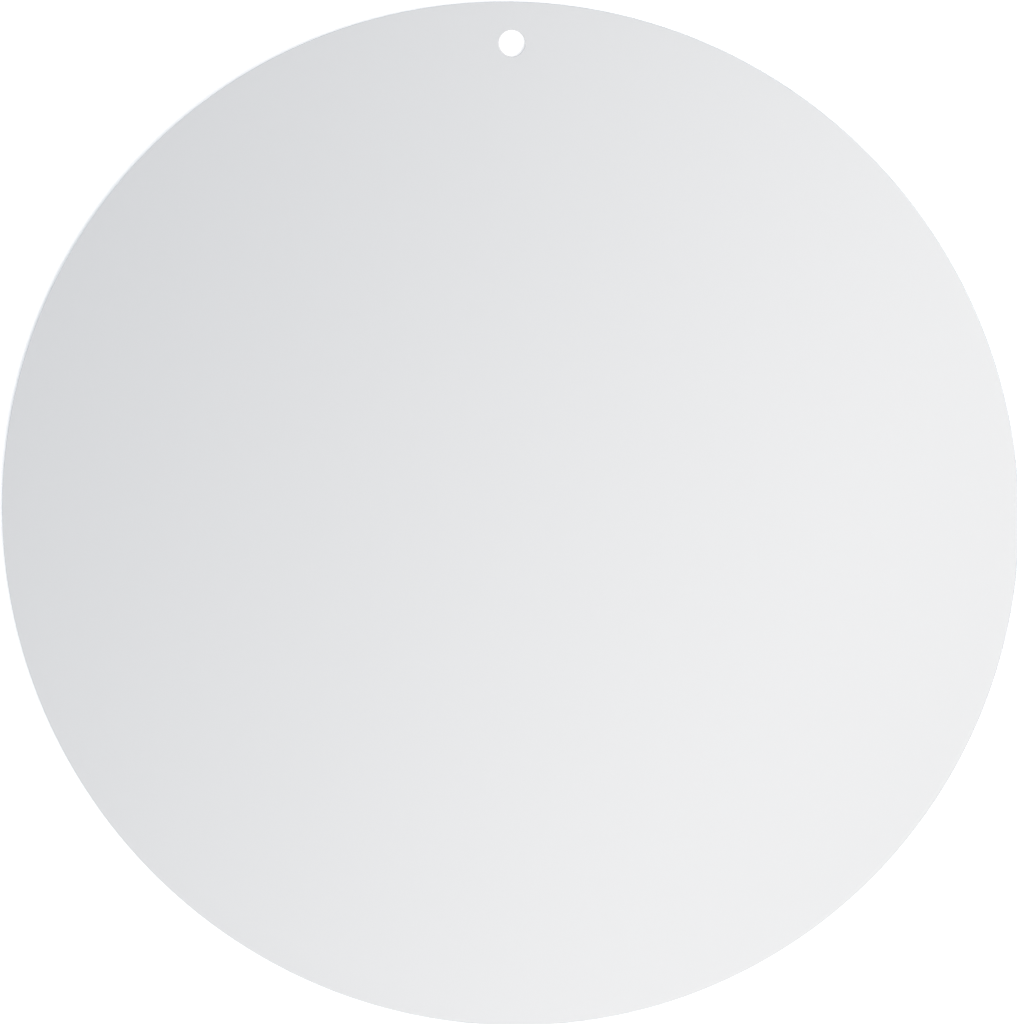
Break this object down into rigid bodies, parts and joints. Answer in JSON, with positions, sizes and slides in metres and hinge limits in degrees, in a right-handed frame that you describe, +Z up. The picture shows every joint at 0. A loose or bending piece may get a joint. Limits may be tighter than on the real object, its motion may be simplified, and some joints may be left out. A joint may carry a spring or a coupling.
{
  "type": "circle template",
  "caption": "Flat round drawing template: a thin satin plastic disc whose rim guides a pencil or knife round a 254 mm circle, with a small hanging hole near the edge.",
  "frame": {"origin": "centre of the disc's underside, on the plane that it rests on", "axes": "+Z up through the sheet's thickness, along the hanging hole; +Y from the disc's centre towards the hanging hole"},
  "size_m": [0.254, 0.254, 0.0015],
  "materials": {
    "template_sheet": "satin, pale cool grey acrylic sheet, with a cut and scraped rim"
  },
  "bodies": {
    "root": {"template_disc": "template_sheet"}
  },
  "joints": []
}
